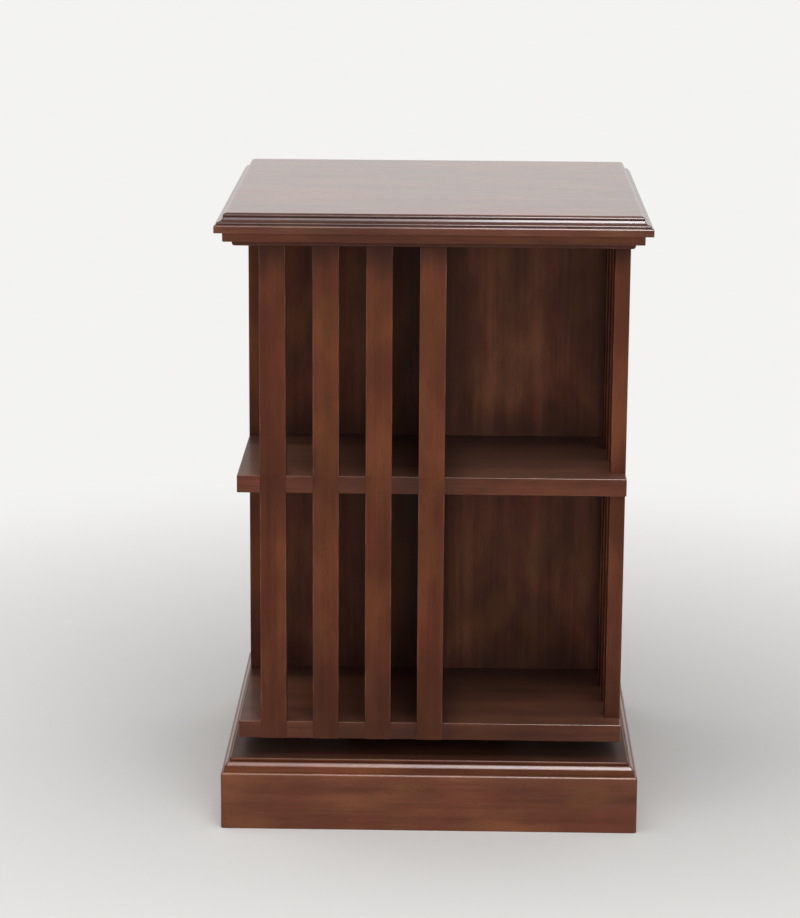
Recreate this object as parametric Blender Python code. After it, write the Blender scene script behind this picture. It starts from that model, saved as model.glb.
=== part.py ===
"""Rotating low bookcase: a square carcass of slatted book compartments that turns on a plinth.

Metres, +Z up. The origin is on the floor, under the turning axis, and the front faces -Y.
The four faces are alike: each has its left half closed by upright slats and its right half open,
so every quarter of the carcass is a compartment that opens on one face only.
"""

from math import cos, hypot, pi, radians, sin, sqrt

import bmesh
import bpy
from mathutils import Matrix, Vector

# Carcass
BODY_WIDTH = 0.454
BOARD_THICKNESS = 0.021
LOWER_TIER_HEIGHT = 0.279
UPPER_TIER_HEIGHT = 0.271
CARCASS_TOP_THICKNESS = 0.016
PARTITION_THICKNESS = 0.015
BOARD_ARRIS = 0.0012

# Slats
SLATS_PER_FACE = 4
SLAT_WIDTH = 0.0305
SLAT_THICKNESS = 0.018
SLAT_INSET = 0.027
SLAT_ARRIS = 0.0012

# Table top: sizes of its edge, from the flat down to the lip
TOP_OVERHANG = 0.023
TOP_THICKNESS = 0.022
TOP_OVOLO = 0.0033
TOP_QUIRK = 0.0024
TOP_COVE_WIDTH = 0.0056
TOP_COVE_DROP = 0.0032
TOP_LEDGE_WIDTH = 0.0019
TOP_LEDGE_DROP = 0.0008
TOP_RISER = 0.0019
TOP_LIP_ROUND = 0.0022

# Cornice under the top
CORNICE_OVERHANG = 0.0138
CORNICE_HEIGHT = 0.0107
CORNICE_ARRIS = 0.0008
BED_MOULD_OVERHANG = 0.0036
BED_MOULD_FILLET = 0.0025
BED_MOULD_OVOLO_WIDTH = 0.0028
BED_MOULD_OVOLO_DROP = 0.0036

# Plinth and base board
PLINTH_OVERHANG = 0.020
PLINTH_HEIGHT = 0.0693
PLINTH_THICKNESS = 0.018
PLINTH_ARRIS = 0.0026
PLINTH_BLOCK_SIDE = 0.034
PLINTH_BLOCK_CHAMFER = 0.017
PLINTH_BLOCK_LIFT = 0.006
BASE_SET_IN = 0.0035
BASE_FILLET = 0.0005
BASE_COVE_WIDTH = 0.001
BASE_COVE_RISE = 0.006
BASE_OVOLO = 0.0045
BASE_QUIRK_WIDTH = 0.0015
BASE_QUIRK_RISE = 0.0024
BASE_ARRIS = 0.002

# Turntable bearing, between the base board and the carcass
TURN_GAP = 0.022
BEARING_HEIGHT = 0.009
BEARING_BLOCK_WIDTH = 0.200
PLATE_WIDTH = 0.150
PLATE_SHEET = 0.0012
PLATE_CORNER = 0.012
RACE_RADIUS = 0.055
RACE_SHOULDER = 0.004
RACE_SLOPE = 0.003
GROOVE_HALF_WIDTH = 0.0015
COLLAR_INSET = 0.010
COLLAR_LIP = 0.003
BALL_COUNT = 20
BALL_DIAMETER = 0.005
CAGE_WIDTH = 0.0064
CAGE_SHEET = 0.001
SCREW_OFFSET = 0.062
SCREW_LENGTH = 0.011
SCREW_SHANK = 0.0036
SCREW_HEAD = 0.0078
SCREW_HEAD_HEIGHT = 0.0022
SCREW_HOLE = 0.0044
ACCESS_HOLE = 0.016

# Clearance between pieces that touch, and how finely curves are cut
FIT = 0.0003
CURVE_STEPS = 6
ARRIS_STEPS = 2
RING_STEPS = 48
HOLE_STEPS = 16
BALL_RINGS = 6
GROOVE_STEPS = 4
HEAD_STEPS = 3

# Finishes: colour, roughness and metallic value
STAINED_TOP = ((0.115, 0.040, 0.022), 0.25, 0.0)
STAINED_FRAME = ((0.105, 0.038, 0.018), 0.35, 0.0)
STAINED_INSIDE = ((0.060, 0.022, 0.012), 0.45, 0.0)
BARE_WOOD = ((0.260, 0.140, 0.070), 0.70, 0.0)
ZINC_STEEL = ((0.520, 0.530, 0.540), 0.35, 1.0)
BRIGHT_STEEL = ((0.640, 0.640, 0.650), 0.15, 1.0)

# Half widths and heights that follow from the sizes above
BODY_HALF = BODY_WIDTH / 2
TOP_HALF = BODY_HALF + TOP_OVERHANG
PLINTH_HALF = BODY_HALF + PLINTH_OVERHANG
SLAT_BACK = BODY_HALF - SLAT_THICKNESS
SLAT_PITCH = (BODY_HALF - SLAT_INSET - SLAT_WIDTH / 2) / (SLATS_PER_FACE - 1)
BASE_BOARD_BOTTOM = PLINTH_HEIGHT + FIT
BASE_BOARD_THICKNESS = BASE_FILLET + BASE_COVE_RISE + BASE_OVOLO + BASE_QUIRK_RISE + BASE_ARRIS
BASE_BOARD_TOP = BASE_BOARD_BOTTOM + BASE_BOARD_THICKNESS
BODY_BOTTOM = BASE_BOARD_TOP + TURN_GAP
UPPER_PLATE_TOP = BODY_BOTTOM - FIT
LOWER_PLATE_BOTTOM = UPPER_PLATE_TOP - BEARING_HEIGHT
BEARING_BLOCK_TOP = LOWER_PLATE_BOTTOM - FIT
BALL_LEVEL = LOWER_PLATE_BOTTOM + BEARING_HEIGHT / 2
SCREW_CIRCLE = hypot(SCREW_OFFSET, SCREW_OFFSET)
BOTTOM_BOARD_TOP = BODY_BOTTOM + BOARD_THICKNESS
SHELF_BOTTOM = BOTTOM_BOARD_TOP + LOWER_TIER_HEIGHT
SHELF_TOP = SHELF_BOTTOM + BOARD_THICKNESS
CARCASS_TOP_BOTTOM = SHELF_TOP + UPPER_TIER_HEIGHT
CARCASS_TOP_TOP = CARCASS_TOP_BOTTOM + CARCASS_TOP_THICKNESS
TABLE_TOP_BOTTOM = CARCASS_TOP_TOP + FIT
TABLE_TOP_TOP = TABLE_TOP_BOTTOM + TOP_THICKNESS

FACES = ("front", "right", "back", "left")
CORNERS = ((-1, -1), (1, -1), (1, 1), (-1, 1))


def clear_scene():
    """Start from an empty scene."""
    for obj in list(bpy.data.objects):
        bpy.data.objects.remove(obj, do_unlink=True)


def axis_empty(name):
    """An empty on the turning axis that carries the pieces of one body."""
    empty = bpy.data.objects.new(name, None)
    bpy.context.collection.objects.link(empty)
    return empty


def finish_material(name, finish):
    """A Principled material of one finish."""
    colour, roughness, metallic = finish
    material = bpy.data.materials.new(name)
    material.use_nodes = True
    shader = material.node_tree.nodes["Principled BSDF"]
    shader.inputs["Base Color"].default_value = (*colour, 1.0)
    shader.inputs["Roughness"].default_value = roughness
    shader.inputs["Metallic"].default_value = metallic
    material.diffuse_color = (*colour, 1.0)
    return material


def to_mesh(name, bm, finish, smooth=False):
    """Turn a bmesh into a mesh with its finish."""
    bmesh.ops.recalc_face_normals(bm, faces=bm.faces)
    mesh = bpy.data.meshes.new(name)
    bm.to_mesh(mesh)
    bm.free()
    if finish:
        mesh.materials.append(finish_material(name, finish))
    if smooth:
        mesh.shade_smooth()
        mesh.set_sharp_from_angle(angle=radians(35))
    return mesh


def place(name, mesh, parent, matrix=None):
    """Put a mesh into the scene as a named piece of one body."""
    obj = bpy.data.objects.new(name, mesh)
    bpy.context.collection.objects.link(obj)
    obj.parent = parent
    if matrix:
        obj.matrix_local = matrix
    return obj


def cutter(name, bm):
    """A hidden shape that only cuts or joins other pieces."""
    obj = place(name, to_mesh(name, bm, None), None)
    obj.hide_render = True
    obj.display_type = "WIRE"
    return obj


def combine(obj, tool, operation="DIFFERENCE"):
    """Cut a piece with a tool, or join the tool to it."""
    modifier = obj.modifiers.new(tool.name, "BOOLEAN")
    modifier.operation = operation
    modifier.solver = "EXACT"
    modifier.object = tool


def quarter_turns():
    """The rotation that brings the front face to each of the four faces."""
    return [Matrix.Rotation(index * pi / 2, 4, "Z") for index in range(len(FACES))]


def arc(centre, width, height, start, end, steps=CURVE_STEPS):
    """Points of a quarter curve, an ellipse about its centre, between two angles in degrees."""
    points = []
    for step in range(steps + 1):
        angle = radians(start + (end - start) * step / steps)
        points.append((centre[0] + width * cos(angle), centre[1] + height * sin(angle)))
    return points


def add_box(bm, low, high):
    """A rectangular block between two corners."""
    low = Vector(low)
    high = Vector(high)
    matrix = Matrix.Translation((low + high) / 2) @ Matrix.Diagonal((*(high - low), 1.0))
    return bmesh.ops.create_cube(bm, size=1.0, matrix=matrix)["verts"]


def block(low, high, arris=0.0):
    """A board or block, with its edges eased by a small round."""
    bm = bmesh.new()
    add_box(bm, low, high)
    if arris:
        bmesh.ops.bevel(
            bm, geom=bm.edges[:], offset=arris, segments=ARRIS_STEPS, profile=0.5, affect="EDGES"
        )
    return bm


def add_rods(bm, places, diameter, low, high):
    """Upright round rods through the places given as x and y."""
    for x, y in places:
        bmesh.ops.create_cone(
            bm, cap_ends=True, segments=HOLE_STEPS, radius1=diameter / 2, radius2=diameter / 2,
            depth=high - low, matrix=Matrix.Translation((x, y, (low + high) / 2)),
        )


def square_loop(bm, half, height):
    """A square ring of edges about the axis."""
    verts = [bm.verts.new((half * x, half * y, height)) for x, y in CORNERS]
    return [bm.edges.new((verts[index - 1], verts[index])) for index in range(len(verts))]


def moulded_board(profile):
    """A square board whose edges follow a profile of half width and height, from the bottom up."""
    bm = bmesh.new()
    loops = [square_loop(bm, half, height) for half, height in profile]
    for lower, upper in zip(loops, loops[1:]):
        bmesh.ops.bridge_loops(bm, edges=lower + upper)
    for end in (loops[0], loops[-1]):
        bmesh.ops.contextual_create(bm, geom=end)
    return bm


def mitred_strip(section):
    """A strip along the front face, mitred at both ends.

    The section holds points of distance from the axis and height.
    """
    half_joint = FIT / 2 * sqrt(2)
    bm = bmesh.new()
    verts = [bm.verts.new((-out + half_joint, -out, height)) for out, height in section]
    near_end = bm.faces.new(verts)
    grown = bmesh.ops.extrude_face_region(bm, geom=[near_end])["geom"]
    for vert in grown:
        if isinstance(vert, bmesh.types.BMVert):
            vert.co.x = -vert.co.x
    return bm


def ring(section):
    """A ring turned about the axis from a closed section of radius and height."""
    bm = bmesh.new()
    verts = [bm.verts.new((radius, 0.0, height)) for radius, height in section]
    edges = [bm.edges.new((verts[index - 1], verts[index])) for index in range(len(verts))]
    bmesh.ops.spin(
        bm, geom=verts + edges, cent=(0, 0, 0), axis=(0, 0, 1), angle=2 * pi,
        steps=RING_STEPS, use_merge=True, use_duplicate=False,
    )
    return bm


def square_off(bm, half, corner):
    """Draw the rim of a turned ring out to a square with rounded corners."""
    middle = half - corner
    for vert in bm.verts:
        radius = hypot(vert.co.x, vert.co.y)
        if radius < half - FIT:
            continue
        across = abs(vert.co.x) / radius
        along = abs(vert.co.y) / radius
        reach = half / max(across, along)
        if reach * min(across, along) > middle:
            total = middle * (across + along)
            reach = total + sqrt(total * total - 2 * middle * middle + corner * corner)
        vert.co.x *= reach / radius
        vert.co.y *= reach / radius


def turned(profile):
    """A solid turned about its own upright axis, from a profile that starts and ends on it."""
    bm = bmesh.new()
    verts = [bm.verts.new((radius, 0.0, height)) for radius, height in profile]
    edges = [bm.edges.new(pair) for pair in zip(verts, verts[1:])]
    bmesh.ops.spin(
        bm, geom=verts + edges, cent=(0, 0, 0), axis=(0, 0, 1), angle=2 * pi,
        steps=HOLE_STEPS, use_merge=True, use_duplicate=False,
    )
    bmesh.ops.remove_doubles(bm, verts=bm.verts, dist=0.00001)
    return bm


def screw_places():
    """The four screw holes of a bearing plate."""
    return [(SCREW_OFFSET * x, SCREW_OFFSET * y) for x, y in CORNERS]


def make_plinth(base):
    """Four mitred rails with a glue block in each inner corner."""
    inner = PLINTH_HALF - PLINTH_THICKNESS
    round_centre = (PLINTH_HALF - PLINTH_ARRIS, PLINTH_HEIGHT - PLINTH_ARRIS)
    section = [(inner, 0.0), (PLINTH_HALF, 0.0)]
    section += arc(round_centre, PLINTH_ARRIS, PLINTH_ARRIS, 0, 90)
    section.append((inner, PLINTH_HEIGHT))
    for face, turn in zip(FACES, quarter_turns()):
        name = "plinth_" + face
        place(name, to_mesh(name, mitred_strip(section), STAINED_FRAME), base, turn)

    outer = inner - FIT
    for index, turn in enumerate(quarter_turns(), start=1):
        name = "plinth_block_%d" % index
        bm = block(
            (-outer, -outer, PLINTH_BLOCK_LIFT),
            (-outer + PLINTH_BLOCK_SIDE, -outer + PLINTH_BLOCK_SIDE, PLINTH_HEIGHT),
        )
        chamfered = [edge for edge in bm.edges if is_upright_inner_edge(edge, outer)]
        bmesh.ops.bevel(
            bm, geom=chamfered, offset=PLINTH_BLOCK_CHAMFER, segments=1, profile=0.5, affect="EDGES"
        )
        place(name, to_mesh(name, bm, BARE_WOOD), base, turn)


def is_upright_inner_edge(edge, outer):
    """True for the upright edge of a glue block that faces the middle of the plinth."""
    limit = -outer + PLINTH_BLOCK_SIDE / 2
    return all(vert.co.x > limit and vert.co.y > limit for vert in edge.verts)


def make_base_board(base, access_cutter):
    """The moulded board on the plinth: fillet, cove, ovolo, quirk and eased arris under its flat."""
    edge = PLINTH_HALF - BASE_SET_IN
    height = BASE_BOARD_BOTTOM
    profile = [(edge, height)]
    height += BASE_FILLET
    profile += arc((edge, height + BASE_COVE_RISE), BASE_COVE_WIDTH, BASE_COVE_RISE, 270, 180)
    edge -= BASE_COVE_WIDTH
    height += BASE_COVE_RISE
    profile += arc((edge - BASE_OVOLO, height), BASE_OVOLO, BASE_OVOLO, 0, 90)[1:]
    edge -= BASE_OVOLO + BASE_QUIRK_WIDTH
    height += BASE_OVOLO
    profile.append((edge, height))
    height += BASE_QUIRK_RISE
    profile += arc((edge - BASE_ARRIS, height), BASE_ARRIS, BASE_ARRIS, 0, 90)
    board = place("base_board", to_mesh("base_board", moulded_board(profile), STAINED_FRAME), base)
    combine(board, access_cutter)


def make_bearing_block(base):
    """The wooden packer under the bearing, drilled for its screws and slotted for a screwdriver."""
    half = BEARING_BLOCK_WIDTH / 2
    bm = block((-half, -half, BASE_BOARD_TOP + FIT), (half, half, BEARING_BLOCK_TOP), BOARD_ARRIS)
    packer = place("bearing_block", to_mesh("bearing_block", bm, BARE_WOOD), base)
    holes = bmesh.new()
    depth = SCREW_LENGTH - PLATE_SHEET + FIT
    add_rods(holes, screw_places(), SCREW_SHANK + 2 * FIT, BEARING_BLOCK_TOP - depth, LOWER_PLATE_BOTTOM)
    combine(packer, cutter("lower_pilot_holes", holes))
    slot = bmesh.new()
    add_box(
        slot,
        (SCREW_CIRCLE - ACCESS_HOLE / 2, -ACCESS_HOLE / 2, BASE_BOARD_TOP),
        (SCREW_CIRCLE + half, ACCESS_HOLE / 2, LOWER_PLATE_BOTTOM),
    )
    combine(packer, cutter("access_slot", slot))


def make_access_cutter():
    """The hole under the packer's slot, to reach the upper screws in turn from below."""
    bm = bmesh.new()
    add_rods(bm, [(SCREW_CIRCLE, 0.0)], ACCESS_HOLE, PLINTH_HEIGHT, BASE_BOARD_TOP + FIT)
    return cutter("access_hole", bm)


def groove_height(offset):
    """Height of the ball groove over the plate's outer face, at a distance from its middle."""
    reach = BALL_DIAMETER / 2 + FIT
    return BEARING_HEIGHT / 2 - sqrt(reach * reach - offset * offset)


def race_sections():
    """The pressed race of a plate, from its flange inwards: radius and height of the ball side."""
    shoulder = groove_height(GROOVE_HALF_WIDTH)
    sections = [
        (RACE_RADIUS + RACE_SHOULDER + RACE_SLOPE, PLATE_SHEET),
        (RACE_RADIUS + RACE_SHOULDER, shoulder),
    ]
    for step in range(GROOVE_STEPS + 1):
        offset = GROOVE_HALF_WIDTH * (1 - 2 * step / GROOVE_STEPS)
        sections.append((RACE_RADIUS + offset, groove_height(offset)))
    sections.append((RACE_RADIUS - RACE_SHOULDER, shoulder))
    return sections


def pressed_plate(ball_side, outer_side):
    """A pressed steel plate: the turned race and inner rim, with a square flange round them.

    Both sides run inwards from the race. Heights run from the plate's outer face.
    """
    half = PLATE_WIDTH / 2
    bm = ring([(half, 0.0), (half, PLATE_SHEET)] + ball_side + outer_side[::-1])
    square_off(bm, half, PLATE_CORNER)
    return bm


def backed(side):
    """The other face of a sheet, from the one given."""
    return [(radius, height - PLATE_SHEET) for radius, height in side]


def make_lower_plate(base):
    """The plate on the packer, whose rolled collar keeps the upper plate from lifting."""
    collar = RACE_RADIUS - COLLAR_INSET
    foot = groove_height(GROOVE_HALF_WIDTH)
    lip_bottom = BEARING_HEIGHT / 2 + FIT + PLATE_SHEET
    lip_top = lip_bottom + PLATE_SHEET
    ball_side = race_sections()
    outer_side = backed(ball_side)
    ball_side += [(collar, foot), (collar, lip_bottom), (collar + COLLAR_LIP, lip_bottom)]
    outer_side += [
        (collar - PLATE_SHEET, foot - PLATE_SHEET),
        (collar - PLATE_SHEET, lip_top),
        (collar + COLLAR_LIP, lip_top),
    ]
    place_plate("bearing_lower_plate", pressed_plate(ball_side, outer_side), base, LOWER_PLATE_BOTTOM, 1)


def make_upper_plate(carcass):
    """The plate under the bottom board, with a rim that runs under the lower plate's collar lip."""
    rim_inner = RACE_RADIUS - COLLAR_INSET + FIT
    rim_outer = RACE_RADIUS - RACE_SHOULDER - RACE_SLOPE / 2
    rim_height = BEARING_HEIGHT / 2
    ball_side = race_sections() + [(rim_outer, rim_height), (rim_inner, rim_height)]
    plate = pressed_plate(ball_side, backed(ball_side))
    place_plate("bearing_upper_plate", plate, carcass, UPPER_PLATE_TOP, -1)


def place_plate(name, bm, parent, level, up):
    """Drill a bearing plate's flange and set it in place, ball side up or down."""
    bmesh.ops.transform(bm, matrix=Matrix.Diagonal((1, 1, up, 1)), verts=bm.verts)
    bmesh.ops.translate(bm, vec=(0, 0, level), verts=bm.verts)
    plate = place(name, to_mesh(name, bm, ZINC_STEEL, smooth=True), parent)
    holes = bmesh.new()
    add_rods(holes, screw_places(), SCREW_HOLE, level - 2 * PLATE_SHEET, level + 2 * PLATE_SHEET)
    combine(plate, cutter(name + "_holes", holes))


def make_ball_cage(cage):
    """A flat ring that spaces the balls, with the balls in it."""
    outer = RACE_RADIUS + CAGE_WIDTH / 2
    inner = RACE_RADIUS - CAGE_WIDTH / 2
    low = BALL_LEVEL - CAGE_SHEET / 2
    high = BALL_LEVEL + CAGE_SHEET / 2
    bm = ring([(outer, low), (outer, high), (inner, high), (inner, low)])
    ball_ring = place("ball_cage", to_mesh("ball_cage", bm, BRIGHT_STEEL, smooth=True), cage)
    balls = bmesh.new()
    for index in range(BALL_COUNT):
        angle = 2 * pi * (index + 0.5) / BALL_COUNT
        centre = (RACE_RADIUS * cos(angle), RACE_RADIUS * sin(angle), BALL_LEVEL)
        bmesh.ops.create_uvsphere(
            balls, u_segments=2 * BALL_RINGS, v_segments=BALL_RINGS, radius=BALL_DIAMETER / 2,
            matrix=Matrix.Translation(centre),
        )
    combine(ball_ring, cutter("balls", balls), "UNION")


def make_screws(parent, prefix, level, up):
    """Pan-head screws through a plate's flange, heads on its ball side."""
    profile = arc((0.0, 0.0), SCREW_HEAD / 2, SCREW_HEAD_HEIGHT, 90, 0, HEAD_STEPS)
    profile += [
        (SCREW_SHANK / 2, 0.0),
        (SCREW_SHANK / 2, SCREW_SHANK - SCREW_LENGTH),
        (0.0, -SCREW_LENGTH),
    ]
    mesh = to_mesh(prefix, turned(profile), BRIGHT_STEEL, smooth=True)
    seat = level + up * (PLATE_SHEET + FIT)
    turn = Matrix.Rotation(0.0 if up > 0 else pi, 4, "X")
    for index, (x, y) in enumerate(screw_places(), start=1):
        place("%s_%d" % (prefix, index), mesh, parent, Matrix.Translation((x, y, seat)) @ turn)


def slat_offsets():
    """Middles of the slats along a face, from its left corner to its centre."""
    first = -BODY_HALF + SLAT_INSET + SLAT_WIDTH / 2
    return [first + index * SLAT_PITCH for index in range(SLATS_PER_FACE)]


def make_notch_cutter():
    """The housings for all slats, cut through every board of the carcass."""
    bm = bmesh.new()
    half_notch = SLAT_WIDTH / 2 + FIT
    for turn in quarter_turns():
        for middle in slat_offsets():
            verts = add_box(
                bm,
                (middle - half_notch, -BODY_HALF - SLAT_THICKNESS, BODY_BOTTOM - SLAT_THICKNESS),
                (middle + half_notch, -SLAT_BACK + FIT, CARCASS_TOP_TOP + SLAT_THICKNESS),
            )
            bmesh.ops.transform(bm, matrix=turn, verts=verts)
    return cutter("slat_notches", bm)


def make_boards(carcass):
    """Bottom board, middle shelf and carcass top, all notched for the slats."""
    notches = make_notch_cutter()
    boards = {
        "bottom_board": (BODY_BOTTOM, BOTTOM_BOARD_TOP, STAINED_FRAME),
        "middle_shelf": (SHELF_BOTTOM, SHELF_TOP, STAINED_FRAME),
        "carcass_top": (CARCASS_TOP_BOTTOM, CARCASS_TOP_TOP, STAINED_INSIDE),
    }
    for name, (low, high, finish) in boards.items():
        bm = block((-BODY_HALF, -BODY_HALF, low), (BODY_HALF, BODY_HALF, high), BOARD_ARRIS)
        combine(place(name, to_mesh(name, bm, finish), carcass), notches)

    holes = bmesh.new()
    depth = SCREW_LENGTH - PLATE_SHEET + FIT
    add_rods(holes, screw_places(), SCREW_SHANK + 2 * FIT, UPPER_PLATE_TOP, BODY_BOTTOM + depth)
    combine(bpy.data.objects["bottom_board"], cutter("upper_pilot_holes", holes))


def make_partitions(carcass):
    """The cross of each tier: one long panel between two side slats, and two short ones."""
    half = PARTITION_THICKNESS / 2
    reach = SLAT_BACK - FIT
    tiers = {
        "lower": (BOTTOM_BOARD_TOP + FIT, SHELF_BOTTOM - FIT),
        "upper": (SHELF_TOP + FIT, CARCASS_TOP_BOTTOM - FIT),
    }
    for tier, (low, high) in tiers.items():
        panels = {
            "long": ((-reach, -half, low), (reach, half, high)),
            "front": ((-half, -reach, low), (half, -half - FIT, high)),
            "back": ((-half, half + FIT, low), (half, reach, high)),
        }
        for panel, (corner, opposite) in panels.items():
            name = "%s_%s_partition" % (tier, panel)
            place(name, to_mesh(name, block(corner, opposite), STAINED_INSIDE), carcass)


def make_slats(carcass):
    """Four upright slats on the left half of each face, flush with the boards they are let into."""
    half = SLAT_WIDTH / 2
    bm = bmesh.new()
    add_box(bm, (-half, -BODY_HALF, BODY_BOTTOM), (half, -SLAT_BACK, CARCASS_TOP_TOP))
    upright = [edge for edge in bm.edges if edge.verts[0].co.z != edge.verts[1].co.z]
    bmesh.ops.bevel(
        bm, geom=upright, offset=SLAT_ARRIS, segments=ARRIS_STEPS, profile=0.5, affect="EDGES"
    )
    mesh = to_mesh("slat", bm, STAINED_FRAME)
    for face, turn in zip(FACES, quarter_turns()):
        for index, middle in enumerate(slat_offsets(), start=1):
            name = "slat_%s_%d" % (face, index)
            place(name, mesh, carcass, turn @ Matrix.Translation((middle, 0, 0)))


def make_cornice(carcass):
    """Mitred mouldings round the head of the carcass: a plain step over a small rounded bed mould."""
    back = BODY_HALF + FIT
    outer = BODY_HALF + CORNICE_OVERHANG
    bed = BODY_HALF + BED_MOULD_OVERHANG
    step = CARCASS_TOP_TOP - CORNICE_HEIGHT
    ovolo = step - BED_MOULD_FILLET
    ovolo_centre = (bed - BED_MOULD_OVOLO_WIDTH, ovolo)
    section = [(back, CARCASS_TOP_TOP), (outer, CARCASS_TOP_TOP)]
    section += arc((outer - CORNICE_ARRIS, step + CORNICE_ARRIS), CORNICE_ARRIS, CORNICE_ARRIS, 0, -90)
    section.append((bed, step))
    section += arc(ovolo_centre, BED_MOULD_OVOLO_WIDTH, BED_MOULD_OVOLO_DROP, 0, -90)
    section.append((back, ovolo - BED_MOULD_OVOLO_DROP))
    for face, turn in zip(FACES, quarter_turns()):
        name = "cornice_" + face
        place(name, to_mesh(name, mitred_strip(section), STAINED_TOP), carcass, turn)


def make_table_top(carcass):
    """The top: lip, riser, ledge, cove, quirk and ovolo up to its flat."""
    riser_edge = TOP_HALF - TOP_LIP_ROUND
    cove_edge = riser_edge - TOP_LEDGE_WIDTH
    quirk_edge = cove_edge - TOP_COVE_WIDTH
    quirk_top = TABLE_TOP_TOP - TOP_OVOLO
    cove_top = quirk_top - TOP_QUIRK
    cove_bottom = cove_top - TOP_COVE_DROP
    riser_top = cove_bottom - TOP_LEDGE_DROP
    lip_top = riser_top - TOP_RISER
    lip_centre = (riser_edge, lip_top - TOP_LIP_ROUND)
    profile = [(TOP_HALF, TABLE_TOP_BOTTOM)]
    profile += arc(lip_centre, TOP_LIP_ROUND, TOP_LIP_ROUND, 0, 90)
    profile.append((riser_edge, riser_top))
    profile += arc((cove_edge, cove_top), TOP_COVE_WIDTH, TOP_COVE_DROP, 270, 180)
    profile += arc((quirk_edge - TOP_OVOLO, quirk_top), TOP_OVOLO, TOP_OVOLO, 0, 90)
    place("table_top", to_mesh("table_top", moulded_board(profile), STAINED_TOP), carcass)


def main():
    """Build the standing base, the ball cage and the turning carcass."""
    clear_scene()
    base = axis_empty("base")
    cage = axis_empty("cage_axis")
    carcass = axis_empty("turning_axis")
    access_cutter = make_access_cutter()
    make_plinth(base)
    make_base_board(base, access_cutter)
    make_bearing_block(base)
    make_lower_plate(base)
    make_screws(base, "lower_plate_screw", LOWER_PLATE_BOTTOM, 1)
    make_ball_cage(cage)
    make_upper_plate(carcass)
    make_screws(carcass, "upper_plate_screw", UPPER_PLATE_TOP, -1)
    make_boards(carcass)
    make_partitions(carcass)
    make_slats(carcass)
    make_cornice(carcass)
    make_table_top(carcass)


main()
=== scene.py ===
"""Looks of a rotating low bookcase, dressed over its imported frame.

The moulded top, the cornice, the slats, the notched boards, the moulded base and the plinth are modelled
again with finer curves and eased edges. Panels and turntable keep their frame shapes and get a finish.
"""

from math import cos, hypot, pi, radians, sin
from typing import NamedTuple

import bmesh
import bpy
from bpy.props import FloatProperty, FloatVectorProperty, IntProperty, PointerProperty
from bpy.types import Operator, Panel, PropertyGroup
from mathutils import Matrix, Vector


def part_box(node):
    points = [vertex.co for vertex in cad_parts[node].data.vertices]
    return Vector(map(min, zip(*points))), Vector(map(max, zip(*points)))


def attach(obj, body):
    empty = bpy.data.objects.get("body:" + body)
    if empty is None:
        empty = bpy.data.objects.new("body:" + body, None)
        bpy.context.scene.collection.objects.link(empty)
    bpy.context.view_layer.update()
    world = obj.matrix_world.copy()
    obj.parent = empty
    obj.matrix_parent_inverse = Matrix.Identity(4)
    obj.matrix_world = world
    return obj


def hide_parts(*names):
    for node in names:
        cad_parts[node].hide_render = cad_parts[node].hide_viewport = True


bl_info = {
    "name": "Rotating Low Bookcase",
    "version": (1, 0, 0),
    "blender": (4, 5, 0),
    "location": "3D View > Sidebar > Bookcase",
    "description": "Dresses the frame of a rotating low bookcase in stained and lacquered wood",
    "category": "Object",
}

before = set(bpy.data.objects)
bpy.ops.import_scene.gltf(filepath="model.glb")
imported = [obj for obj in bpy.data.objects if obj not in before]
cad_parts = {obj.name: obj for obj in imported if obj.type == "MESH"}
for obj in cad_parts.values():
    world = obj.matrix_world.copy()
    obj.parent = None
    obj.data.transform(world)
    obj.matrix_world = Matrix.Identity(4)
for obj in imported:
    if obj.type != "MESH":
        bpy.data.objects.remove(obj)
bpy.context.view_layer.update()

# Words that the names of the frame's nodes are made of
FACES = ("front", "right", "back", "left")
SLATS_PER_FACE = 4
SLATS = [(face, number) for face in FACES for number in range(1, SLATS_PER_FACE + 1)]
CORNERS = range(1, len(FACES) + 1)
TIERS = ("lower", "upper")
PLATES = ("lower", "upper")
BOARDS = ("bottom_board", "middle_shelf", "carcass_top")

# Axes of the bookcase
ALONG_X, ALONG_Y, ALONG_Z = range(3)

# Attribute that says how a spot lies, from hidden in a quirk to proud on a crest
RELIEF = "relief"
HIDDEN, PLAIN, PROUD = -1.0, 0.0, 1.0

# Arcs of the hollow in the top's edge and of the round on the base board, in degrees from the level
COVE_START, COVE_END = 22, 48
ROUND_START, ROUND_END = 28, 50

# Limits that the meshes are made to
HOLE_STEPS = 32
SHARP_ANGLE = radians(38)
MERGE_DISTANCE = 0.000001

# Grain: weight of each layer in its tone, spread of the tone, and how far the streaks wander
BAND_WEIGHT, RIBBON_WEIGHT, FIBRE_WEIGHT = 0.54, 0.26, 0.20
GRAIN_SPREAD = 0.17
GRAIN_WANDER = 0.012
NOISE_MEAN = 0.5

# Stain: how strongly each kind of patch shows, with the darkening in quirks (partly painted shade) and the
# painted shade behind the slats among them, and how dark the clouds are
WARM_SHARE, COOL_SHARE, PORE_SHARE, GRIME_AND_SHADE_SHARE, BEHIND_SLATS_SHADE = 0.45, 0.40, 0.45, 0.62, 0.54
CLOUD_SHADE = 0.66

# Level bands, painted shade with some old stain in corners and a dusting with painted sheen on tops:
# weights of bands and ribbons in their ragged edge, and its width beside their reach
RAGGED_BANDS, RAGGED_RIBBONS = 0.7, 0.3
RAGGEDNESS = 1.1

# Painted shade behind the slats: how far from the middle it is darkest and clear again, and how sharply the
# quarters of the plan meet, as a product of the ways along X and Y
SCREEN_DARK, SCREEN_CLEAR = 0.03, 0.18
QUARTER_EDGE = 0.00001

# Lacquer: how far clouds, pores and rubbed spots roughen it, how high fibres stand in it beside the depth
# of a pore, and how much of its coat a quirk loses
CLOUD_HAZE, PORE_HAZE, RUB_HAZE = 0.36, 0.24, 0.14
FIBRE_RISE = 0.35
QUIRK_LOSS = 0.9

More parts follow.
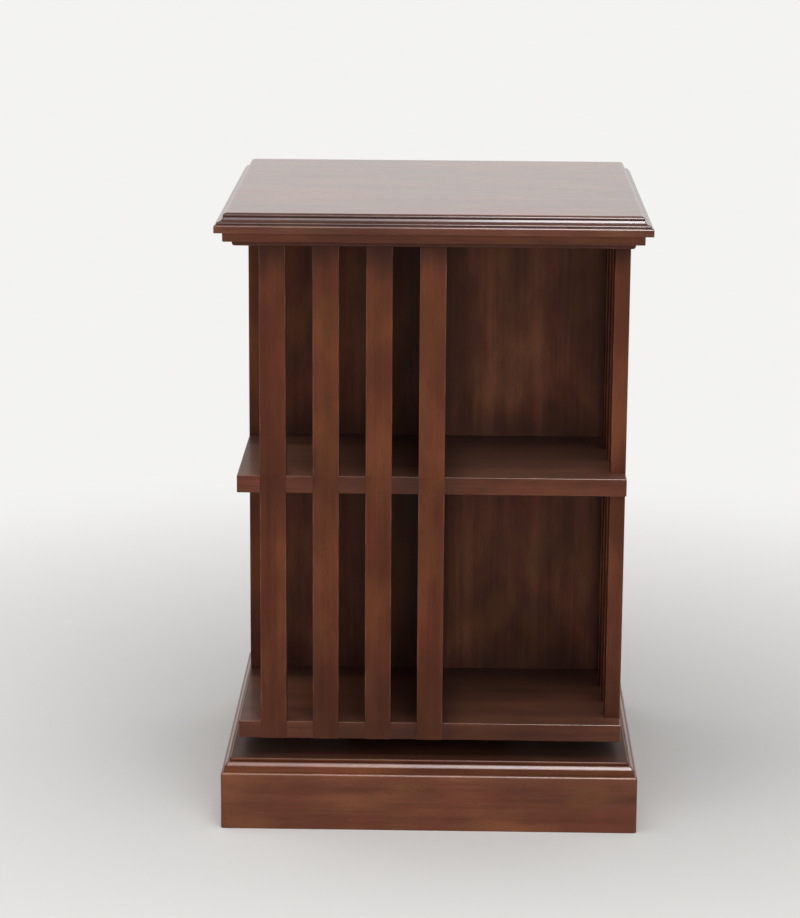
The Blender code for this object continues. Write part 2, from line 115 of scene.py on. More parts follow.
# Moulded edge of a top: heights over which it gives way to the flat and to the lip, the coat that is left
# on the lip, and how much less its crests are polished
FLAT_FADE, LIP_FADE = 0.0008, 0.002
LIP_COAT = 0.25
EDGE_DULLNESS = 0.4

# Sawn wood: weights of its bands and fibres, strength of its saw marks, and its roughness
SAWN_BANDS, SAWN_FIBRES = 0.6, 0.4
SAW_MARK_SHARE = 0.35
SAWN_ROUGHNESS, SAWN_FIBRE_HAZE = 0.66, 0.22

# Plating: strength of its dull clouds, and how far they change its roughness
DULL_SHARE, DULL_HAZE = 0.5, 0.3


def size(name, description, default):
    """A length that a user may change."""
    return FloatProperty(
        name=name, description=description, default=default, min=0.0, precision=5,
        subtype="DISTANCE", unit="LENGTH",
    )


def stain(name, description, default):
    """A colour that a user may change."""
    return FloatVectorProperty(
        name=name, description=description, default=default, min=0.0, max=1.0, size=3, subtype="COLOR",
    )


def share(name, description, default):
    """A number from 0 to 1 that a user may change."""
    return FloatProperty(
        name=name, description=description, default=default, min=0.0, max=1.0, subtype="FACTOR",
    )


def angle(name, description, default):
    """An angle that a user may change."""
    return FloatProperty(name=name, description=description, default=default, subtype="ANGLE")


def power(name, description, default):
    """The power of a lamp that a user may change."""
    return FloatProperty(name=name, description=description, default=default, unit="POWER")


def steps(name, description, default):
    """A number of facets that a user may change."""
    return IntProperty(name=name, description=description, default=default, min=2)


class BookcaseSizes(PropertyGroup):
    """Sizes of the mouldings, from the flat of each piece outwards, and of its eased edges."""

    top_ovolo: size("Top Ovolo", "Height of the round at the edge of the flat", 0.0030)
    top_ovolo_width: size("Top Ovolo Width", "Width of the round at the edge of the flat", 0.0050)
    top_quirk: size("Top Quirk", "Upright step under the round", 0.0019)
    top_cove_drop: size("Top Cove Drop", "How far the hollow runs down", 0.0037)
    top_cove_width: size("Top Cove Width", "How far hollow and ledge run out", 0.0071)
    top_ledge_drop: size("Top Ledge Drop", "Fall of the ledge under the hollow", 0.0009)
    top_ledge_arris: size("Top Ledge Arris", "Round at the edge of the ledge", 0.0018)
    top_riser: size("Top Riser", "Upright step over the lip", 0.0028)
    top_lip_round: size("Top Lip Round", "Round at the upper edge of the lip", 0.0030)
    top_lip_arris: size("Top Lip Arris", "Round at the lower edge of the lip", 0.0004)
    cornice_height: size("Cornice Height", "Height of the plain step", 0.0107)
    cornice_arris: size("Cornice Arris", "Round at the lower edge of the step", 0.0008)
    bed_overhang: size("Bed Mould Overhang", "How far the bed mould stands out of the carcass", 0.0036)
    bed_fillet: size("Bed Mould Fillet", "Upright part of the bed mould", 0.0025)
    bed_round_width: size("Bed Mould Round Width", "Width of the round under the bed mould", 0.0028)
    base_taper: size("Base Taper", "How far the upright edge of the base moulding leans in", 0.0010)
    base_edge: size("Base Edge", "Height of the upright edge of the base moulding", 0.0070)
    base_round: size("Base Round", "Height of the round over the upright edge", 0.0040)
    base_quirk_width: size("Base Quirk Width", "From the face of the round to the flat inside it", 0.0060)
    base_arris: size("Base Arris", "Round at the edge of the flat", 0.0020)
    base_hole: size("Access Hole", "Diameter of the hole to the upper bearing screws", 0.0160)
    pilot_hole: size("Pilot Hole", "Diameter of the holes for the upper bearing screws", 0.0042)
    pilot_room: size("Pilot Room", "Room in a pilot hole over the tip of its screw", 0.0003)
    plinth_arris: size("Plinth Arris", "Round at the upper edge of the rails", 0.0030)
    plinth_foot_arris: size("Plinth Foot Arris", "Round at the edge that stands on the floor", 0.0008)
    board_arris: size("Board Arris", "Round at the edges of shelf and bottom board", 0.0013)
    slat_arris: size("Slat Arris", "Round at the edges of the slats", 0.0012)
    upper_corner: size("Upper Corner", "Round at the corners of top and cornice", 0.0015)
    lower_corner: size("Lower Corner", "Round at the corners of base board and plinth", 0.0025)
    joint_gap: size("Joint Gap", "Hairline between a board and the slats let into it", 0.0001)
    edge_line: size("Edge Line", "Width over which grime in a quirk gives way to a clean edge", 0.0004)
    curve_steps: steps("Curve Steps", "Facets of each moulded curve", 12)
    arris_steps: steps("Arris Steps", "Facets of each eased edge", 4)


class BookcaseFinish(PropertyGroup):
    """Stains and metals of the bookcase."""

    top: stain("Top", "Stain of the table top", (0.122, 0.043, 0.0255))
    cornice: stain("Cornice", "Stain of the mouldings under the top", (0.114, 0.036, 0.0195))
    slats: stain("Slats", "Stain of the upright slats", (0.100, 0.028, 0.0125))
    boards: stain("Boards", "Stain of shelf, bottom board and carcass top", (0.098, 0.029, 0.0145))
    panels: stain("Panels", "Stain of the panels between the compartments", (0.093, 0.032, 0.0180))
    plinth: stain("Plinth", "Stain of plinth and base board", (0.136, 0.042, 0.019))
    worn: stain("Worn Edge", "Wood where handling has thinned the stain", (0.30, 0.145, 0.075))
    # Dark colour mixed into quirks and hollows: partly grimy build-up, partly painted shade
    grime_and_shade: stain("Grime", "Stain and wax left in the quirks", (0.018, 0.008, 0.005))
    sheen: stain("Sheen", "Tint of the light that the stained wood throws back", (1.0, 0.70, 0.58))
    # Dusting on the shelves that also lightens their tops as a painted sheen
    dust_and_sheen: stain("Dust", "Thin dust on the shelves", (0.165, 0.105, 0.076))
    bare: stain("Bare Wood", "Sawn wood that is hidden in use", (0.42, 0.25, 0.13))
    zinc: stain("Zinc", "Zinc plate of the turntable", (0.60, 0.61, 0.62))
    steel: stain("Steel", "Bright steel of screws, balls and cage", (0.70, 0.70, 0.71))


class BookcaseStudio(PropertyGroup):
    """Camera, light, floor and backdrop."""

    camera_place: FloatVectorProperty(
        name="Camera Place", description="Where the camera stands", default=(0.0262, -3.5436, 1.2313),
        subtype="XYZ", unit="LENGTH",
    )
    camera_yaw: angle("Yaw", "Turn of the camera to the right", -0.0190)
    camera_pitch: angle("Pitch", "Tilt of the camera upwards", -0.2315)
    camera_roll: angle("Roll", "Lean of the camera", 0.0063)
    camera_lens: FloatProperty(
        name="Lens", description="Focal length on a 36 mm frame", default=115.08, unit="CAMERA",
    )
    backdrop: stain("Backdrop", "Pale surroundings", (0.90, 0.895, 0.885))
    floor: stain("Floor", "Pale floor", (0.62, 0.612, 0.60))
    ambient: share("Ambient", "Light from all round on the object", 0.30)
    overhead: share("Overhead", "How bright the surroundings look overhead, beside those at eye level", 0.35)
    key_power: power("Key", "Power of the lamp overhead", 99.0)
    fill_power: power("Fill", "Power of the lamp in front", 67.0)
    glint_power: power("Glint", "Power of the lamps that only show in polished edges", 265.0)
    glint_colour: stain(
        "Glint Colour", "Colour of the lamps that only show in polished edges", (0.93, 0.95, 1.0),
    )


class Reading:
    """A value in a node tree: arithmetic on readings adds Math nodes to it."""

    def __init__(self, recipe, socket):
        self.recipe = recipe
        self.socket = socket

    def __add__(self, other):
        return self.recipe.maths("ADD", self, other)

    def __radd__(self, other):
        return self.recipe.maths("ADD", other, self)

    def __sub__(self, other):
        return self.recipe.maths("SUBTRACT", self, other)

    def __rsub__(self, other):
        return self.recipe.maths("SUBTRACT", other, self)

    def __mul__(self, other):
        return self.recipe.maths("MULTIPLY", self, other)

    def __rmul__(self, other):
        return self.recipe.maths("MULTIPLY", other, self)


class Recipe:
    """Writes the nodes of one finish."""

    def __init__(self, tree):
        self.tree = tree
        tree.nodes.clear()

    def node(self, kind, settings=None, sockets=None, output=0):
        """Add a node: its settings first, then values or links for its sockets. Gives one output."""
        node = self.tree.nodes.new("ShaderNode" + kind)
        for name, value in (settings or {}).items():
            setattr(node, name, value)
        for key, value in (sockets or {}).items():
            socket = self.pick(node.inputs, key)
            if isinstance(value, Reading):
                self.tree.links.new(value.socket, socket)
            elif socket.type == "RGBA":
                socket.default_value = (*value, 1.0)
            else:
                socket.default_value = value
        if node.outputs:
            return Reading(self, self.pick(node.outputs, output))
        return None

    @staticmethod
    def pick(sockets, key):
        """A socket by its number, identifier or name."""
        if isinstance(key, int):
            return sockets[key]
        return next(socket for socket in sockets if key in (socket.identifier, socket.name))

    def maths(self, operation, *terms):
        """A Math node on numbers and readings."""
        return self.node("Math", {"operation": operation}, dict(enumerate(terms)))

    def fade(self, value, low, high):
        """0 below low, 1 above high, with a soft step between."""
        return self.node(
            "MapRange", {"interpolation_type": "SMOOTHSTEP"},
            {"Value": value, "From Min": low, "From Max": high},
        )

    def mix(self, first, second, factor, blend="MIX"):
        """One colour over another."""
        return self.node(
            "Mix", {"data_type": "RGBA", "blend_type": blend, "clamp_result": True},
            {"Factor_Float": factor, "A_Color": first, "B_Color": second}, "Result_Color",
        )

    def place(self):
        """Where a spot lies in the bookcase."""
        return self.node("TexCoord", output="Object")

    def way(self, place, axis):
        """How far a place lies along an axis."""
        return self.node("SeparateXYZ", None, {0: place}, axis)

    def grain(self, place, along, width, length, detail=2.0):
        """Noise in streaks of a width and a length, which run along one axis."""
        scale = [1.0 / width] * 3
        scale[along] = 1.0 / length
        stretched = self.node("Mapping", None, {"Vector": place, "Scale": scale})
        return self.node("TexNoise", None, {"Vector": stretched, "Scale": 1.0, "Detail": detail})


class WoodGrain:
    """Readings of the grain along one axis of a piece, and of the clouds and patches in its stain."""

    def __init__(self, recipe, place, along):
        wander = recipe.grain(place, along, width=0.05, length=0.30)
        drift = recipe.node(
            "VectorMath", {"operation": "MULTIPLY_ADD"}, {
                0: recipe.node("CombineXYZ", None, {0: wander, 1: wander, 2: wander}),
                1: [GRAIN_WANDER] * 3,
                2: place,
            },
        )
        self.bands = recipe.grain(drift, along, width=0.016, length=0.42, detail=3.0)
        self.ribbons = recipe.grain(drift, along, width=0.0046, length=0.20)
        self.fibres = recipe.grain(drift, along, width=0.0009, length=0.030)
        specks = recipe.grain(drift, along, width=0.00055, length=0.0095, detail=1.0)
        self.pores = recipe.fade(specks, low=0.62, high=0.70)
        self.clouds = recipe.grain(place, along, width=0.055, length=0.13, detail=3.0)
        self.patches = recipe.grain(place, along, width=0.034, length=0.075, detail=1.0)
        touches = recipe.grain(place, along, width=0.010, length=0.028, detail=3.0)
        self.touched = recipe.fade(touches, low=0.42, high=0.66)


class LevelBand(NamedTuple):
    """A band at a level on an axis, how far it reaches from there and how strong it is there."""

    axis: int
    level: float
    reach: float
    depth: float


def toned(colour, red, green, blue):
    """A colour with its parts made stronger or weaker."""
    return colour[0] * red, colour[1] * green, colour[2] * blue


def band_strength(recipe, place, level_bands, ragged):
    """How strong the level bands on a piece are at a spot, with edges as ragged as a noise."""
    strongest = 0.0
    for axis, level, reach, depth in level_bands:
        distance = recipe.maths("ABSOLUTE", recipe.maths("ABSOLUTE", recipe.way(place, axis)) - level)
        near = 1.0 - recipe.fade(distance + (ragged - NOISE_MEAN) * (RAGGEDNESS * reach), low=0.0, high=reach)
        strongest = recipe.maths("MAXIMUM", near * depth, strongest)
    return strongest


def painted_shade_behind_slats(recipe, place, axes):
    """How far a spot lies behind the slats, for the shade painted there. Compartments that open along X and
    along Y take turns.
    """
    ways = [recipe.way(place, axis) for axis in (ALONG_X, ALONG_Y)]
    opens_aside = recipe.fade(ways[ALONG_X] * ways[ALONG_Y], low=-QUARTER_EDGE, high=QUARTER_EDGE)
    compartments = (opens_aside, 1.0 - opens_aside)
    shade = 0.0
    for axis in axes:
        clear = recipe.fade(recipe.maths("ABSOLUTE", ways[axis]), low=SCREEN_DARK, high=SCREEN_CLEAR)
        shade += compartments[axis] * (1.0 - clear)
    return shade


def stained_grain(recipe, grain, colour, contrast, patchy, mottled):
    """A stain in dark and light streaks, with warm and cool patches, dim clouds and dark pores."""
    depth = grain.bands * BAND_WEIGHT + grain.ribbons * RIBBON_WEIGHT + grain.fibres * FIBRE_WEIGHT
    spread = GRAIN_SPREAD / contrast
    tone = recipe.fade(depth, low=NOISE_MEAN - spread, high=NOISE_MEAN + spread)
    dark = toned(colour, red=0.60, green=0.55, blue=0.54)
    light = toned(colour, red=1.34, green=1.38, blue=1.40)
    body = recipe.mix(dark, light, tone)
    warm = recipe.fade(grain.patches, low=0.48, high=0.68)
    warm_tone = toned(colour, red=1.24, green=1.36, blue=1.10)
    body = recipe.mix(body, warm_tone, warm * (WARM_SHARE * patchy))
    cool = 1.0 - recipe.fade(grain.patches, low=0.32, high=0.50)
    cool_tone = toned(colour, red=0.94, green=0.74, blue=0.84)
    body = recipe.mix(body, cool_tone, cool * (COOL_SHARE * patchy))
    dusk = recipe.fade(grain.clouds, low=0.36, high=0.66) * mottled + (1.0 - CLOUD_SHADE * mottled)
    grey = recipe.node("CombineColor", None, {0: dusk, 1: dusk, 2: dusk})
    body = recipe.mix(body, grey, 1.0, "MULTIPLY")
    return recipe.mix(body, toned(colour, red=0.30, green=0.28, blue=0.30), grain.pores * PORE_SHARE)


def new_finish(name):
    """A material, and the recipe that its nodes are written with."""
    material = bpy.data.materials.new(name)
    material.use_nodes = True
    return material, Recipe(material.node_tree)


def stained_wood(
    name, colour, along, contrast=1.0, patchy=1.0, mottled=0.36, wear=0.30, roughness=0.42, specular=0.17,
    coat=0.04, coat_roughness=0.16, polish=0.9, corners=(), dust_and_sheen=(), shaded_axes=(), edge=None,
):
    """Mahogany-stained wood under lacquer, its grain along one axis of the bookcase.

    Contrast is that of the grain, patchy and mottled say how uneven the stain is, and wear and polish what
    handling did to the crests. Corners lists level bands where the stain is darker and cooler: mostly painted
    shade, partly old stain. Dusting on tops is a list of level bands that lighten them, partly as a painted
    sheen. Shaded axes lists the axes that the compartments open along: shade is painted on the wood behind
    the slats there. A moulded edge is given by the heights of its foot and of its flat: below the flat the
    moulding is darkened and cooled towards the lilac of its reflections, in part a painted reflection.
    """
    finish = bpy.context.scene.bookcase_finish
    material, recipe = new_finish(name)
    place = recipe.place()
    grain = WoodGrain(recipe, place, along)
    body = stained_grain(recipe, grain, colour, contrast, patchy, mottled)
    # Dusting on upward faces that also lightens them as a painted sheen
    if dust_and_sheen:
        body = recipe.mix(body, finish.dust_and_sheen, band_strength(recipe, place, dust_and_sheen, grain.clouds))
    if corners:
        # Corners: darker, cooler stain, mostly painted shade and partly old stain
        ragged = grain.bands * RAGGED_BANDS + grain.ribbons * RAGGED_RIBBONS
        shade_and_old_stain = toned(colour, red=0.24, green=0.31, blue=0.46)
        body = recipe.mix(body, shade_and_old_stain, band_strength(recipe, place, corners, ragged))
    if shaded_axes:
        # Painted shade on the wood behind the slats, deepest near the middle of the plan
        painted_shade = toned(colour, red=0.26, green=0.30, blue=0.36)
        body = recipe.mix(body, painted_shade, painted_shade_behind_slats(recipe, place, shaded_axes) * BEHIND_SLATS_SHADE)
    if edge is not None:
        foot, flat = edge
        height = recipe.way(place, ALONG_Z)
        level = recipe.fade(height, low=flat - FLAT_FADE, high=flat)
        moulded = recipe.fade(height, low=foot - LIP_FADE, high=foot)
        # Below the flat the moulding is darkened and cooled towards the lilac of its reflections: in part a
        # painted reflection
        darker_cooler_edge = (0.50, 0.54, 0.64)
        body = recipe.mix(body, darker_cooler_edge, moulded * (1.0 - level), "MULTIPLY")
        coat = coat * (moulded * (1.0 - LIP_COAT) + LIP_COAT)
        polish = polish * (1.0 - moulded * EDGE_DULLNESS)

    relief = recipe.node("Attribute", {"attribute_name": RELIEF}, output="Fac")
    crest = recipe.fade(relief, low=PLAIN, high=PROUD)
    quirk = recipe.fade(0.0 - relief, low=PLAIN, high=-HIDDEN)
    rub = crest * grain.touched
    body = recipe.mix(body, finish.worn, rub * wear)
    # Quirks and hollows darkened: partly grimy build-up, partly painted shade
    body = recipe.mix(body, finish.grime_and_shade, quirk * GRIME_AND_SHADE_SHARE)

    clouded = (grain.clouds - NOISE_MEAN) * CLOUD_HAZE
    texture = grain.fibres * FIBRE_RISE - grain.pores
    shader = recipe.node("BsdfPrincipled", None, {
        "Base Color": body,
        "Roughness": (1.0 + clouded + grain.pores * PORE_HAZE + rub * RUB_HAZE) * roughness,
        "Normal": recipe.node("Bump", None, {"Strength": 0.22, "Distance": 0.0004, "Height": texture}),
        "Specular IOR Level": specular, "Specular Tint": finish.sheen,
        "Coat Weight": (coat + (1.0 - coat) * (crest * polish)) * (1.0 - quirk * QUIRK_LOSS),
        "Coat Roughness": coat_roughness,
    })
    recipe.node("OutputMaterial", None, {"Surface": shader})
    return material


def woods_for_square(name, colour, **looks):
    """Stained wood for the pieces round a square: its grain across the front, and to the back."""
    return [
        stained_wood(name + ", grain across", colour, ALONG_X, **looks),
        stained_wood(name + ", grain to the back", colour, ALONG_Y, **looks),
    ]


def bare_wood(name, colour, along):
    """Sawn wood with no finish, for the pieces that are hidden in use."""
    material, recipe = new_finish(name)
    place = recipe.place()
    bands = recipe.grain(place, along, width=0.008, length=0.18, detail=3.0)
    fibres = recipe.grain(place, along, width=0.0008, length=0.024)
    across = ALONG_X if along == ALONG_Y else ALONG_Y
    kerf = recipe.grain(place, across, width=0.0016, length=0.060, detail=1.0)
    tone = recipe.fade(bands * SAWN_BANDS + fibres * SAWN_FIBRES, low=0.34, high=0.66)
    dark = toned(colour, red=0.66, green=0.60, blue=0.54)
    light = toned(colour, red=1.16, green=1.14, blue=1.10)
    saw_mark = toned(colour, red=0.72, green=0.70, blue=0.68)
    body = recipe.mix(dark, light, tone)
    body = recipe.mix(body, saw_mark, recipe.fade(kerf, low=0.56, high=0.72) * SAW_MARK_SHARE)
    texture = kerf + fibres * SAWN_FIBRES
    shader = recipe.node("BsdfPrincipled", None, {
        "Base Color": body,
        "Roughness": SAWN_ROUGHNESS + fibres * SAWN_FIBRE_HAZE,
        "Normal": recipe.node("Bump", None, {"Strength": 0.5, "Distance": 0.0006, "Height": texture}),
        "Specular IOR Level": 0.3,
    })
    recipe.node("OutputMaterial", None, {"Surface": shader})
    return material


def plated_steel(name, colour, roughness, spangle):
    """Steel with the faint cloudy crystals and fine scratches of its plating."""
    material, recipe = new_finish(name)
    place = recipe.place()
    crystals = recipe.node("TexVoronoi", None, {"Vector": place, "Scale": 1.0 / spangle})
    scratches = recipe.grain(place, ALONG_X, width=0.0004, length=0.020, detail=1.0)
    clouds = recipe.grain(place, ALONG_Z, width=0.012, length=0.012, detail=3.0)
    shaded = toned(colour, red=0.80, green=0.80, blue=0.82)
    dull = toned(colour, red=0.62, green=0.60, blue=0.56)
    body = recipe.mix(shaded, colour, recipe.fade(crystals, low=0.1, high=0.9))
    body = recipe.mix(body, dull, recipe.fade(clouds, low=0.56, high=0.74) * DULL_SHARE)
    shader = recipe.node("BsdfPrincipled", None, {
        "Base Color": body,
        "Metallic": 1.0,
        "Roughness": roughness + (clouds - NOISE_MEAN) * DULL_HAZE,
        "Normal": recipe.node("Bump", None, {"Strength": 0.10, "Distance": 0.0001, "Height": scratches}),
    })
    recipe.node("OutputMaterial", None, {"Surface": shader})
    return material


def curve(centre, width, height, start, end, relief=PLAIN):
    """Points of an arc between two angles in degrees, with a relief that swells towards its middle."""
    count = bpy.context.scene.bookcase_sizes.curve_steps
    points = []
    for step in range(count + 1):
        part = step / count
        turn = radians(start + (end - start) * part)
        swell = relief * sin(pi * part)
        points.append((centre[0] + width * cos(turn), centre[1] + height * sin(turn), swell))
    return points


def arc_radius(rise, start, end):
    """Radius of an arc that rises so far between two angles in degrees."""
    return rise / (sin(radians(end)) - sin(radians(start)))


def open_loops(bm):
    """The edges round the open bottom and the open top of a moulded board."""
    edges = [edge for edge in bm.edges if edge.is_boundary]
    middle = sum(edge.verts[0].co.z for edge in edges) / len(edges)
    lower = [edge for edge in edges if edge.verts[0].co.z < middle]
    upper = [edge for edge in edges if edge.verts[0].co.z > middle]
    return lower, upper


def moulded_square(profile, corner_round, closed=False):
    """A moulding round a square with rounded corners, from a profile of distance out, height and relief.

    The first and the last level are left open, and the last one runs back into the first if the profile
    is closed.
    """
    bm = bmesh.new()
    relief = bm.verts.layers.float.new(RELIEF)
    out, height, value = profile[0]
    level = Matrix.Translation((0, 0, height))
    bmesh.ops.create_grid(bm, x_segments=1, y_segments=1, size=out, matrix=level)
    bmesh.ops.bevel(
        bm, geom=bm.verts[:], offset=corner_round, offset_type="OFFSET", affect="VERTICES",
        segments=bpy.context.scene.bookcase_sizes.arris_steps, profile=0.5, material=-1,
    )
    (first,) = bm.faces
    last = first
    for vert in first.verts:
        vert[relief] = value
    for next_out, next_height, value in profile[1:] + profile[:1] * closed:
        grown = bmesh.ops.extrude_face_region(bm, geom=[last, *last.edges])["geom"]
        last = next(item for item in grown if isinstance(item, bmesh.types.BMFace))
        bmesh.ops.scale(bm, vec=(next_out / out, next_out / out, 1.0), verts=last.verts)
        bmesh.ops.translate(bm, vec=(0, 0, next_height - height), verts=last.verts)
        for vert in last.verts:
            vert[relief] = value
        out, height = next_out, next_height
    bmesh.ops.delete(bm, geom=[first, last], context="FACES_ONLY")
    bmesh.ops.remove_doubles(bm, verts=bm.verts, dist=MERGE_DISTANCE)
    return bm


def cut(bm, place, normal, clear_outer=False):
    """Cut a mesh along a plane, and clear what lies in front of the plane if asked to."""
    bmesh.ops.bisect_plane(
        bm, geom=bm.verts[:] + bm.edges[:] + bm.faces[:], dist=MERGE_DISTANCE,
        plane_co=place, plane_no=normal, clear_outer=clear_outer,
    )


def mitred_strip(section, corner_round, turn):
    """One face of a moulding that runs round a square, cut off at its mitres, from its closed section."""
    bm = moulded_square(section, corner_round, closed=True)
    gap = bpy.context.scene.bookcase_sizes.joint_gap
    for normal in (Vector((1, 1, 0)).normalized(), Vector((-1, 1, 0)).normalized()):
        cut(bm, normal * (-gap / 2), normal, clear_outer=True)
    bmesh.ops.holes_fill(bm, edges=[edge for edge in bm.edges if edge.is_boundary], sides=0)
    bmesh.ops.rotate(bm, cent=(0, 0, 0), matrix=Matrix.Rotation(turn * pi / 2, 3, "Z"), verts=bm.verts)
    return bm


def ease(bm, edges, arris):
    """Round some edges, and mark the middle of each round as a crest."""
    relief = bm.verts.layers.float.new(RELIEF)
    rounds = bmesh.ops.bevel(
        bm, geom=edges, offset=arris, offset_type="OFFSET", affect="EDGES", clamp_overlap=True,
        segments=bpy.context.scene.bookcase_sizes.arris_steps, profile=0.5, material=-1,
    )
    faces = set(rounds["faces"])
    for vert in rounds["verts"]:
        if faces.issuperset(vert.link_faces):
            vert[relief] = PROUD


def let_in_slat(low, high, joints, arris):
    """A slat between two corners, its long edges eased except in its joints with the boards."""
    bm = bmesh.new()
    matrix = Matrix.Translation((low + high) / 2) @ Matrix.Diagonal((*(high - low), 1.0))
    bmesh.ops.create_cube(bm, size=1.0, matrix=matrix)
    for joint in joints:
        for level in joint:
            cut(bm, (0, 0, level), (0, 0, 1))
    ease(bm, [edge for edge in bm.edges if is_free_edge(edge, joints)], arris)
    return bm


def is_free_edge(edge, joints):
    """True for an upright edge that no joint holds."""
    first, second = (vert.co.z for vert in edge.verts)
    middle = (first + second) / 2
    held = any(low < middle < high for low, high in joints)
    return abs(first - second) > MERGE_DISTANCE and not held


def notched_board(low, high, notches, arris):
    """A board between two corners with square notches in its sides, and its outer edges eased."""
    bm = bmesh.new()
    half = (high - low) / 2
    centre = (low + high) / 2
    plan = Matrix.Translation((centre.x, centre.y, low.z)) @ Matrix.Diagonal((half.x, half.y, 1.0, 1.0))
    bmesh.ops.create_grid(bm, x_segments=1, y_segments=1, size=1.0, matrix=plan)
    for notch in notches:
        for corner in notch:
            for normal in ((1, 0, 0), (0, 1, 0)):
                cut(bm, corner, normal)
    waste = [face for face in bm.faces if any(is_inside(face, notch) for notch in notches)]
    bmesh.ops.delete(bm, geom=waste, context="FACES")
    bmesh.ops.dissolve_limit(bm, angle_limit=SHARP_ANGLE, verts=bm.verts, edges=bm.edges)
    grown = bmesh.ops.extrude_face_region(bm, geom=bm.faces[:])["geom"]
    upper = [item for item in grown if isinstance(item, bmesh.types.BMVert)]
    bmesh.ops.translate(bm, vec=(0, 0, high.z - low.z), verts=upper)
    bmesh.ops.recalc_face_normals(bm, faces=bm.faces)
    ease(bm, [edge for edge in bm.edges if is_outer_edge(edge, low, high)], arris)
    return bm


def is_inside(face, notch):
    """True if a face of the plan lies in a notch."""
    low, high = notch
    centre = face.calc_center_median()
    return low.x < centre.x < high.x and low.y < centre.y < high.y


def is_outer_edge(edge, low, high):
    """True for the level edges on the four sides of a board, and for its upright corners."""
    first, second = (vert.co for vert in edge.verts)
    sides = 0
    for axis in (ALONG_X, ALONG_Y):
        for limit in (low[axis], high[axis]):
            sides += max(abs(first[axis] - limit), abs(second[axis] - limit)) < MERGE_DISTANCE
    level = abs(first.z - second.z) < MERGE_DISTANCE
    return sides == 2 or (sides == 1 and level)


def hole_rim(bm, x, y, level, diameter):
    """The edges of a round hole, drawn on a level."""
    circle = bmesh.ops.create_circle(
        bm, cap_ends=False, segments=HOLE_STEPS, radius=diameter / 2,
        matrix=Matrix.Translation((x, y, level)),
    )
    return list(dict.fromkeys(edge for vert in circle["verts"] for edge in vert.link_edges))


def add_piece(name, bm, material, body, node):
    """Put a finished mesh into the scene, in place of the frame's node."""
    bmesh.ops.recalc_face_normals(bm, faces=bm.faces)
    mesh = bpy.data.meshes.new(name)
    bm.to_mesh(mesh)
    bm.free()
    mesh.materials.append(material)
    mesh.shade_smooth()
    mesh.set_sharp_from_angle(angle=SHARP_ANGLE)
    piece = bpy.data.objects.new(name, mesh)
    bpy.context.scene.collection.objects.link(piece)
    flats = piece.modifiers.new("Even Flats", "WEIGHTED_NORMAL")
    flats.mode = "FACE_AREA"
    flats.keep_sharp = True
    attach(piece, body)
    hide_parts(node)


def coat_nodes(material, nodes):
    """Give nodes of the frame, whose shape stays, a finish."""
    for node in nodes:
        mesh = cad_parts[node].data
        mesh.materials.clear()
        mesh.materials.append(material)


class BOOKCASE_OT_table_top(Operator):
    """Model the table top with its moulded edge"""

    bl_idname = "bookcase.table_top"
    bl_label = "Table Top"

    def execute(self, context):
        sizes = context.scene.bookcase_sizes
        low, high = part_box("table_top")
        riser_edge = high.x - sizes.top_lip_round
        quirk_edge = riser_edge - sizes.top_cove_width
        quirk_top = high.z - sizes.top_ovolo
        cove_top = quirk_top - sizes.top_quirk
        riser_top = cove_top - sizes.top_cove_drop - sizes.top_ledge_drop
        lip_top = riser_top - sizes.top_riser

        # Lip
        arris = sizes.top_lip_arris
        lip = sizes.top_lip_round
        profile = curve((high.x - arris, low.z + arris), arris, arris, -90, 0, 0.3 * PROUD)
        profile += curve((riser_edge, lip_top - lip), lip, lip, 0, 90, PROUD)[:-1]

        # Riser and ledge
        arris = sizes.top_ledge_arris
        profile.append((riser_edge, lip_top, HIDDEN))
        profile.append((riser_edge, riser_top - arris - sizes.edge_line, 0.9 * HIDDEN))
        profile += curve((riser_edge - arris, riser_top - arris), arris, arris, 0, 90, PROUD)

        # Hollow
        radius = arc_radius(sizes.top_cove_drop, COVE_START, COVE_END)
        start = radians(COVE_START)
        cove_centre = (quirk_edge + radius * cos(start), cove_top + radius * sin(start))
        profile += curve(cove_centre, radius, radius, 180 + COVE_END, 180 + COVE_START)[:-1]

        # Quirk, and round at the edge of the flat
        profile.append((quirk_edge, cove_top, HIDDEN))
        profile.append((quirk_edge, quirk_top - sizes.edge_line, 0.9 * HIDDEN))
        ovolo_centre = (quirk_edge - sizes.top_ovolo_width, quirk_top)
        profile += curve(ovolo_centre, sizes.top_ovolo_width, sizes.top_ovolo, 0, 90, PROUD)

        bm = moulded_square(profile, sizes.upper_corner)
        for loop in open_loops(bm):
            bmesh.ops.contextual_create(bm, geom=loop)
        material = stained_wood(
            "polished top", context.scene.bookcase_finish.top, ALONG_X, contrast=0.8, patchy=1.3, wear=0.08,
            roughness=0.34, specular=0.06, coat=0.94, coat_roughness=0.18, edge=(lip_top, high.z),
        )
        add_piece("moulded_top", bm, material, "carcass", "table_top")
        return {"FINISHED"}


